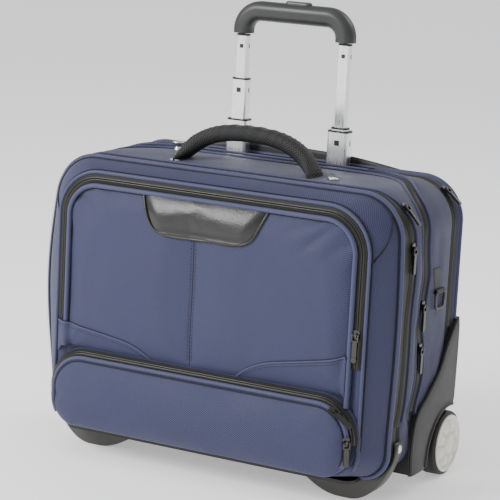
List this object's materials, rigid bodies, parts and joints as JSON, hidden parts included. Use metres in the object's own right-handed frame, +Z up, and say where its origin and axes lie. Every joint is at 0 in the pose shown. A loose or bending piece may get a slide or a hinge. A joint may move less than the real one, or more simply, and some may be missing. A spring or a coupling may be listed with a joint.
{
  "type": "rolling laptop case",
  "caption": "Soft-sided rolling laptop case with a telescoping tow handle, two rear wheels, front feet, padded top handle and zipped lids and pockets.",
  "frame": {"origin": "on the floor, under the middle of the bounding box", "axes": "+Z up along the tow handle, -Y out of the front pockets, +X to the right of someone facing the front; the wheels are at +Y"},
  "size_m": [0.4514, 0.2525, 0.5272],
  "materials": {
    "case_fabric": "slate blue ballistic nylon, plain weave",
    "lining": "dark woven lining",
    "zip_tape": "black reverse-coil zip tape",
    "mesh_pad": "black spacer mesh",
    "black_leather": "smooth black synthetic leather",
    "board": "black polypropylene board",
    "dark_plastic": "dark grey moulded plastic, fine texture",
    "grip_plastic": "dark grey soft-touch plastic",
    "black_plastic": "black nylon",
    "button_plastic": "mid grey plastic",
    "tube_aluminium": "bright anodised aluminium",
    "steel": "nickel-plated steel",
    "gunmetal": "gunmetal plated zinc",
    "tyre_rubber": "dark polyurethane tread",
    "hubcap": "pale silver moulded cap"
  },
  "bodies": {
    "rear_case": {"rear_shell": "case_fabric", "base_board": "board", "stiffener_boards": "board", "trolley_bezel": "black_plastic", "trolley_flap": "black_leather", "wheel_housings": "dark_plastic", "axles": "steel", "kick_plate": "dark_plastic", "back_pad": "mesh_pad", "base_fasteners": "steel", "rear_zip_tapes": "zip_tape", "side_tabs": "black_leather", "base_tubes": "steel", "front_feet": "dark_plastic"},
    "middle_case": {"middle_shell": "case_fabric", "middle_zip_tapes": "zip_tape", "divider_pad": "lining", "handle_mounts": "black_leather", "handle_rivets": "steel"},
    "front_case": {"front_shell": "case_fabric", "front_frame": "case_fabric", "front_zip_tapes": "zip_tape"},
    "pocket_flap": {"pocket_panel": "case_fabric", "pocket_zip_tape": "zip_tape", "leather_patch": "black_leather"},
    "lower_pocket_flap": {"lower_pocket": "case_fabric"},
    "carry_handle": {"carry_handle": "black_leather"},
    "stage_a": {"stage_a_tubes": "tube_aluminium", "stage_a_bushings": "black_plastic"},
    "stage_b_left": {"stage_b_tube_left": "tube_aluminium", "stage_b_bushings_left": "black_plastic"},
    "stage_b_right": {"stage_b_tube_right": "tube_aluminium", "stage_b_bushings_right": "black_plastic"},
    "grip": {"grip_halves": "grip_plastic", "stage_c_tubes": "tube_aluminium", "stage_c_bushings": "black_plastic"},
    "grip_button": {"grip_button": "button_plastic", "release_rods": "steel"},
    "wheel_left": {"wheel_tyre_left": "tyre_rubber", "wheel_hub_left": "hubcap"},
    "wheel_right": {"wheel_tyre_right": "tyre_rubber", "wheel_hub_right": "hubcap"},
    "strap_ring_left": {"strap_ring_left": "gunmetal"},
    "strap_ring_right": {"strap_ring_right": "gunmetal"},
    "slider_zip1_upper": {"slider_zip1_upper": "gunmetal"},
    "pull_zip1_upper": {"pull_zip1_upper": "gunmetal"},
    "slider_zip1_lower": {"slider_zip1_lower": "gunmetal"},
    "pull_zip1_lower": {"pull_zip1_lower": "gunmetal"},
    "slider_zip2_upper": {"slider_zip2_upper": "gunmetal"},
    "pull_zip2_upper": {"pull_zip2_upper": "gunmetal"},
    "slider_zip2_lower": {"slider_zip2_lower": "gunmetal"},
    "pull_zip2_lower": {"pull_zip2_lower": "gunmetal"},
    "slider_zip3": {"slider_zip3": "gunmetal"},
    "pull_zip3": {"pull_zip3": "gunmetal"},
    "slider_pocket": {"slider_pocket": "gunmetal"},
    "pull_pocket": {"pull_pocket": "gunmetal"},
    "slider_lower_left": {"slider_lower_left": "gunmetal"},
    "pull_lower_left": {"pull_lower_left": "gunmetal"},
    "slider_lower_right": {"slider_lower_right": "gunmetal"},
    "pull_lower_right": {"pull_lower_right": "gunmetal"}
  },
  "joints": [
    {"name": "main_lid", "type": "hinge", "parent": "rear_case", "child": "middle_case", "pos_m": [0, -0.095, 0.03], "axis": [1, 0, 0], "range_deg": [0, 45]},
    {"name": "organiser_lid", "type": "hinge", "parent": "middle_case", "child": "front_case", "pos_m": [0, -0.0955, 0.0322], "axis": [1, 0, 0], "range_deg": [0, 30]},
    {"name": "upper_pocket", "type": "hinge", "parent": "front_case", "child": "pocket_flap", "pos_m": [0, -0.101, 0.168], "axis": [1, 0, 0], "range_deg": [0, 35]},
    {"name": "lower_pocket", "type": "hinge", "parent": "front_case", "child": "lower_pocket_flap", "pos_m": [0, -0.101, 0.031], "axis": [1, 0, 0], "range_deg": [0, 30]},
    {"name": "carry_handle", "type": "hinge", "parent": "middle_case", "child": "carry_handle", "pos_m": [0, -0.017, 0.3512], "axis": [1, 0, 0], "range_deg": [-70, 70]},
    {"name": "grip_slide", "type": "slide", "parent": "rear_case", "child": "grip", "axis": [0, 0, 1], "range_m": [-0.133, 0.41]},
    {"name": "stage_a_slide", "type": "slide", "parent": "rear_case", "child": "stage_a", "axis": [0, 0, 1], "range_m": [-0.04, 0.1235]},
    {"name": "stage_b_left_slide", "type": "slide", "parent": "rear_case", "child": "stage_b_left", "axis": [0, 0, 1], "range_m": [-0.088, 0.271]},
    {"name": "stage_b_right_slide", "type": "slide", "parent": "rear_case", "child": "stage_b_right", "axis": [0, 0, 1], "range_m": [-0.088, 0.271]},
    {"name": "button_press", "type": "slide", "parent": "grip", "child": "grip_button", "axis": [0, 0, -1], "range_m": [0, 0.004], "stiffness_N_per_m": 400, "springref_m": -0.002},
    {"name": "wheel_left_spin", "type": "hinge", "parent": "rear_case", "child": "wheel_left", "pos_m": [-0.202, 0.088, 0.0375], "axis": [1, 0, 0], "continuous": true},
    {"name": "wheel_right_spin", "type": "hinge", "parent": "rear_case", "child": "wheel_right", "pos_m": [0.202, 0.088, 0.0375], "axis": [1, 0, 0], "continuous": true},
    {"name": "strap_ring_left_swing", "type": "hinge", "parent": "rear_case", "child": "strap_ring_left", "pos_m": [-0.2213, 0.034, 0.226], "axis": [0, 1, 0], "range_deg": [0, 150]},
    {"name": "strap_ring_right_swing", "type": "hinge", "parent": "rear_case", "child": "strap_ring_right", "pos_m": [0.2213, 0.034, 0.226], "axis": [0, -1, 0], "range_deg": [0, 150]},
    {"name": "zip1_upper_run", "type": "hinge", "parent": "front_case", "child": "slider_zip1_upper", "pos_m": [0.169, -0.045, 0.296], "axis": [0, -1, 0], "range_deg": [-10, 45]},
    {"name": "zip1_upper_pull", "type": "hinge", "parent": "slider_zip1_upper", "child": "pull_zip1_upper", "pos_m": [0.20802, -0.045, 0.33113], "axis": [0, -1, 0], "range_deg": [0, 160]},
    {"name": "zip1_lower_run", "type": "slide", "parent": "front_case", "child": "slider_zip1_lower", "axis": [0, 0, 1], "range_m": [-0.18, 0]},
    {"name": "zip1_lower_pull", "type": "hinge", "parent": "slider_zip1_lower", "child": "pull_zip1_lower", "pos_m": [0.2215, -0.045, 0.286], "axis": [0, -1, 0], "range_deg": [0, 160]},
    {"name": "zip2_upper_run", "type": "slide", "parent": "middle_case", "child": "slider_zip2_upper", "axis": [0, 0, 1], "range_m": [-0.012, 0.075]},
    {"name": "zip2_upper_pull", "type": "hinge", "parent": "slider_zip2_upper", "child": "pull_zip2_upper", "pos_m": [0.2215, -0.008, 0.216], "axis": [0, -1, 0], "range_deg": [0, 160]},
    {"name": "zip2_lower_run", "type": "slide", "parent": "middle_case", "child": "slider_zip2_lower", "axis": [0, 0, 1], "range_m": [-0.04, 0.012]},
    {"name": "zip2_lower_pull", "type": "hinge", "parent": "slider_zip2_lower", "child": "pull_zip2_lower", "pos_m": [0.2215, -0.008, 0.168], "axis": [0, -1, 0], "range_deg": [0, 160]},
    {"name": "zip3_run", "type": "hinge", "parent": "rear_case", "child": "slider_zip3", "pos_m": [0.169, 0.074, 0.296], "axis": [0, -1, 0], "range_deg": [-40, 25]},
    {"name": "zip3_pull", "type": "hinge", "parent": "slider_zip3", "child": "pull_zip3", "pos_m": [0.20413, 0.074, 0.33502], "axis": [0, -1, 0], "range_deg": [0, 160]},
    {"name": "pocket_run", "type": "slide", "parent": "pocket_flap", "child": "slider_pocket", "axis": [0, 0, 1], "range_m": [-0.01, 0.075]},
    {"name": "pocket_pull", "type": "hinge", "parent": "slider_pocket", "child": "pull_pocket", "pos_m": [0.1862, -0.108, 0.196], "axis": [-1, 0, 0], "range_deg": [0, 160]},
    {"name": "lower_left_run", "type": "hinge", "parent": "lower_pocket_flap", "child": "slider_lower_left", "pos_m": [0.149, -0.12052, 0.08], "axis": [0, -1, 0], "range_deg": [-3, 33]},
    {"name": "lower_left_pull", "type": "hinge", "parent": "slider_lower_left", "child": "pull_lower_left", "pos_m": [0.17292, -0.12321, 0.11417], "axis": [-0.4056, -0.7071, -0.5792], "range_deg": [0, 160]},
    {"name": "lower_right_run", "type": "hinge", "parent": "lower_pocket_flap", "child": "slider_lower_right", "pos_m": [0.149, -0.12052, 0.08], "axis": [0, -1, 0], "range_deg": [0, 8]},
    {"name": "lower_right_pull", "type": "hinge", "parent": "slider_lower_right", "child": "pull_lower_right", "pos_m": [0.19068, -0.12321, 0.08146], "axis": [-0.7067, -0.7071, -0.0247], "range_deg": [0, 160]}
  ],
  "couplings": [
    {"joint": "stage_a_slide", "follows": "grip_slide", "ratio": 0.3},
    {"joint": "stage_b_left_slide", "follows": "grip_slide", "ratio": 0.66},
    {"joint": "stage_b_right_slide", "follows": "grip_slide", "ratio": 0.66}
  ]
}
